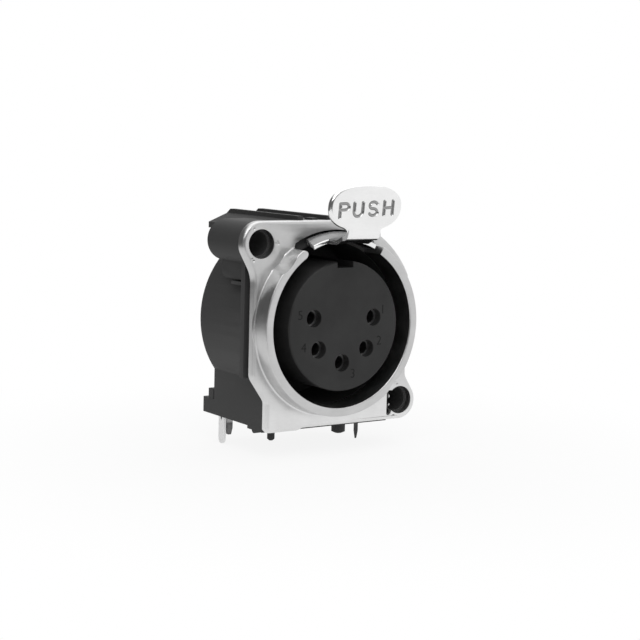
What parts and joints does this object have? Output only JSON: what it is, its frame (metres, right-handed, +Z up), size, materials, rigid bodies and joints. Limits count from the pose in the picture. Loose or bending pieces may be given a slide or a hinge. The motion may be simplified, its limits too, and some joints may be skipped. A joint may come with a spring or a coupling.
{
  "type": "panel socket",
  "caption": "Round locking socket for a panel and circuit board: metal face plate with collar, recessed dark contact insert, push latch tab and downward tails.",
  "frame": {"origin": "on the axis of the mating bore, on the front face of the plate", "axes": "+X right as seen from the front, +Y back into the socket, +Z up away from the board"},
  "size_m": [0.0252, 0.0237, 0.0323],
  "materials": {
    "plated_plate": "satin nickel plating over zinc",
    "polished_latch": "polished nickel plating over steel",
    "black_moulding": "satin black moulding",
    "dark_insert": "dark grey moulding",
    "contact_metal": "silver plated brass",
    "tinned_strip": "bright tinned strip",
    "spring_steel": "spring steel"
  },
  "bodies": {
    "socket": {"front_plate": "plated_plate", "housing": "black_moulding", "rear_cover": "black_moulding", "contact_insert": "dark_insert", "latch_pin": "spring_steel", "latch_spring": "spring_steel", "shell_ground_spring": "tinned_strip", "panel_ground_clip": "tinned_strip", "contact_1": "contact_metal", "contact_2": "contact_metal", "contact_3": "contact_metal", "contact_4": "contact_metal", "contact_5": "contact_metal"},
    "latch": {"latch_lever": "polished_latch"}
  },
  "joints": [
    {"name": "latch_pivot", "type": "hinge", "parent": "socket", "child": "latch", "pos_m": [0, 0.0125, 0.01045], "axis": [-1, 0, 0], "range_deg": [0, 3], "stiffness_Nm_per_rad": 0.05, "springref_deg": -5.73, "deforming": ["latch_spring"]}
  ]
}
